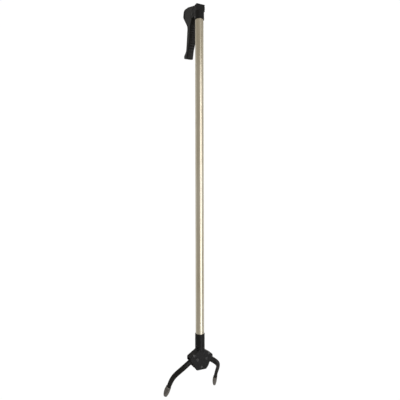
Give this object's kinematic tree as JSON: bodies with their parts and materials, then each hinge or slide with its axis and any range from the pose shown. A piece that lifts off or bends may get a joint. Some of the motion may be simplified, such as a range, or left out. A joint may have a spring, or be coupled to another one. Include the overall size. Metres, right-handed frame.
{
  "type": "reacher grabber",
  "caption": "Long aluminium tube with a squeeze lever at the top that pulls an inner rod to close two curved, soft-tipped jaw fingers at the foot.",
  "frame": {"origin": "on the tube's axis, half way along its bare stretch, where a wall clip grips it", "axes": "+Z along the tube towards the handle; +X towards the right jaw finger; +Y towards the squeeze lever, which is also the way the finger tips sweep back"},
  "size_m": [0.1374, 0.0855, 0.9165],
  "materials": {
    "anodised_tube": "satin champagne anodised, drawn lengthwise",
    "housing_black": "fine moulded grain",
    "lever_black": "fine moulded grain, worn smoother at the grip",
    "finger_black": "moulded, slight sheen",
    "tip_rubber": "matte warm grey soft tip",
    "zinc_steel": "zinc plated",
    "blackened_steel": "blackened",
    "spring_steel": "drawn wire",
    "nylon_natural": "natural nylon"
  },
  "bodies": {
    "frame": {"shaft_tube": "anodised_tube", "handle_shell_left": "housing_black", "handle_shell_right": "housing_black", "handle_screws": "zinc_steel", "upper_rivets": "blackened_steel", "lever_pivot_pin": "blackened_steel", "upper_guide": "nylon_natural", "middle_guides": "nylon_natural", "lower_guide": "nylon_natural", "return_spring": "spring_steel", "head_shell_front": "housing_black", "head_shell_rear": "housing_black", "head_screws": "blackened_steel", "lower_rivets": "blackened_steel", "finger_pins": "blackened_steel"},
    "lever": {"squeeze_lever": "lever_black"},
    "rod": {"pull_rod": "zinc_steel", "rod_end": "nylon_natural", "rod_end_pin": "zinc_steel", "crosshead": "nylon_natural", "crosshead_pin": "zinc_steel"},
    "right_jaw": {"finger_right": "finger_black", "tip_pad_right": "tip_rubber"},
    "left_jaw": {"finger_left": "finger_black", "tip_pad_left": "tip_rubber"}
  },
  "joints": [
    {"name": "lever_squeeze", "type": "hinge", "parent": "frame", "child": "lever", "pos_m": [0, 0.019, 0.375], "axis": [-1, 0, 0], "range_deg": [0, 19.11], "stiffness_Nm_per_rad": 0.6, "springref_deg": -20.05},
    {"name": "rod_pull", "type": "slide", "parent": "frame", "child": "rod", "axis": [0, 0, 1], "range_m": [0, 0.00643], "deforming": ["return_spring"]},
    {"name": "right_jaw_close", "type": "hinge", "parent": "frame", "child": "right_jaw", "pos_m": [0.011, 0, -0.412], "axis": [0, 1, 0], "range_deg": [0, 32.6]},
    {"name": "left_jaw_close", "type": "hinge", "parent": "frame", "child": "left_jaw", "pos_m": [-0.011, 0, -0.412], "axis": [0, -1, 0], "range_deg": [0, 32.6]}
  ],
  "couplings": [
    {"joint": "rod_pull", "follows": "lever_squeeze", "m_per_rad": 0.019185},
    {"joint": "right_jaw_close", "follows": "lever_squeeze", "ratio": 1.6956},
    {"joint": "left_jaw_close", "follows": "lever_squeeze", "ratio": 1.6956}
  ]
}
